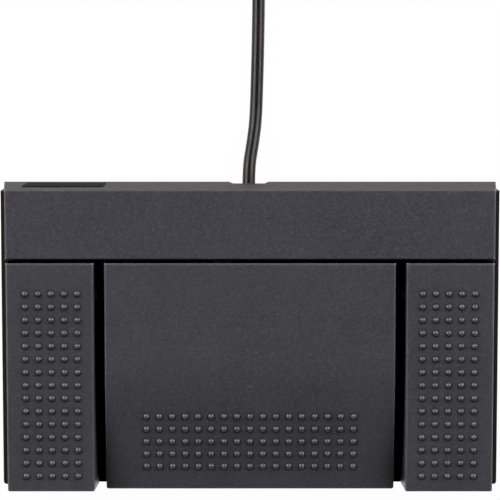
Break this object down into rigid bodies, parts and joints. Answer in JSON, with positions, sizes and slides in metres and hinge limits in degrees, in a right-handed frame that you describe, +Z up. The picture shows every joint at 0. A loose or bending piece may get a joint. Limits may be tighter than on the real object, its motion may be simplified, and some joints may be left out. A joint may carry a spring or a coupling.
{
  "type": "usb foot pedal switch",
  "caption": "Low wide foot control with hinged side and centre pedals, a fixed rear cover bar, grip bumps and a usb lead from its rear.",
  "frame": {"origin": "on the floor, under the middle of the body's outline", "axes": "+X to the right, +Y to the rear where the cable leaves, +Z up"},
  "size_m": [0.208, 0.2899, 0.0449],
  "materials": {
    "pedal_plastic": "fine moulded grain",
    "cover_plastic": "fine moulded grain",
    "base_plastic": "fine moulded grain",
    "inner_plastic": "smooth moulded",
    "label_black": "smooth film",
    "foot_rubber": "matte",
    "pad_rubber": "matte",
    "cable_jacket": "smooth, slightly glossy",
    "ballast_steel": "dull black oxide",
    "shaft_steel": "ground",
    "spring_steel": "drawn wire",
    "screw_steel": "zinc plated",
    "bush_plastic": "turned",
    "board_laminate": "dull black mask",
    "chip_plastic": "moulded",
    "switch_plastic": "moulded",
    "plunger_plastic": "moulded",
    "socket_plastic": "moulded",
    "tie_plastic": "moulded",
    "plug_shell_steel": "plated",
    "tongue_plastic": "moulded",
    "contact_brass": "plated"
  },
  "bodies": {
    "base": {"base_tray": "base_plastic", "rubber_feet": "foot_rubber", "ballast_plate": "ballast_steel", "ballast_screws": "screw_steel", "rear_cover": "cover_plastic", "rear_label": "label_black", "cover_screws": "screw_steel", "hinge_shaft": "shaft_steel", "rest_pads": "pad_rubber", "stop_pads": "pad_rubber", "circuit_board": "board_laminate", "board_screws": "screw_steel", "controller_chip": "chip_plastic", "board_socket": "socket_plastic", "inner_plug": "socket_plastic", "inner_lead": "cable_jacket", "cable_grommet": "cable_jacket", "cable_clamp": "inner_plastic", "clamp_screws": "screw_steel", "usb_cable": "cable_jacket", "cable_coil": "cable_jacket", "cable_tie": "tie_plastic", "usb_plug_body": "cable_jacket", "usb_plug_shell": "plug_shell_steel", "usb_plug_tongue": "tongue_plastic", "usb_plug_contacts": "contact_brass", "left_spring": "spring_steel", "left_switch_body": "switch_plastic", "centre_spring": "spring_steel", "centre_switch_body": "switch_plastic", "right_spring": "spring_steel", "right_switch_body": "switch_plastic"},
    "left_pedal": {"left_pedal": "pedal_plastic", "left_bushes": "bush_plastic"},
    "left_plunger": {"left_switch_plunger": "plunger_plastic"},
    "centre_pedal": {"centre_pedal": "pedal_plastic", "centre_bushes": "bush_plastic"},
    "centre_plunger": {"centre_switch_plunger": "plunger_plastic"},
    "right_pedal": {"right_pedal": "pedal_plastic", "right_bushes": "bush_plastic"},
    "right_plunger": {"right_switch_plunger": "plunger_plastic"}
  },
  "joints": [
    {"name": "left_pedal_hinge", "type": "hinge", "parent": "base", "child": "left_pedal", "pos_m": [0, 0.044, 0.026], "axis": [1, 0, 0], "range_deg": [0, 3.6], "stiffness_Nm_per_rad": 6, "springref_deg": -5.73, "deforming": ["left_spring"]},
    {"name": "left_plunger_slide", "type": "slide", "parent": "base", "child": "left_plunger", "axis": [0, 0, -1], "range_m": [0, 0.0018]},
    {"name": "centre_pedal_hinge", "type": "hinge", "parent": "base", "child": "centre_pedal", "pos_m": [0, 0.044, 0.026], "axis": [1, 0, 0], "range_deg": [0, 3.6], "stiffness_Nm_per_rad": 6, "springref_deg": -5.73, "deforming": ["centre_spring"]},
    {"name": "centre_plunger_slide", "type": "slide", "parent": "base", "child": "centre_plunger", "axis": [0, 0, -1], "range_m": [0, 0.0018]},
    {"name": "right_pedal_hinge", "type": "hinge", "parent": "base", "child": "right_pedal", "pos_m": [0, 0.044, 0.026], "axis": [1, 0, 0], "range_deg": [0, 3.6], "stiffness_Nm_per_rad": 6, "springref_deg": -5.73, "deforming": ["right_spring"]},
    {"name": "right_plunger_slide", "type": "slide", "parent": "base", "child": "right_plunger", "axis": [0, 0, -1], "range_m": [0, 0.0018]}
  ],
  "couplings": [
    {"joint": "left_plunger_slide", "follows": "left_pedal_hinge", "m_per_rad": 0.026},
    {"joint": "centre_plunger_slide", "follows": "centre_pedal_hinge", "m_per_rad": 0.026},
    {"joint": "right_plunger_slide", "follows": "right_pedal_hinge", "m_per_rad": 0.026}
  ]
}
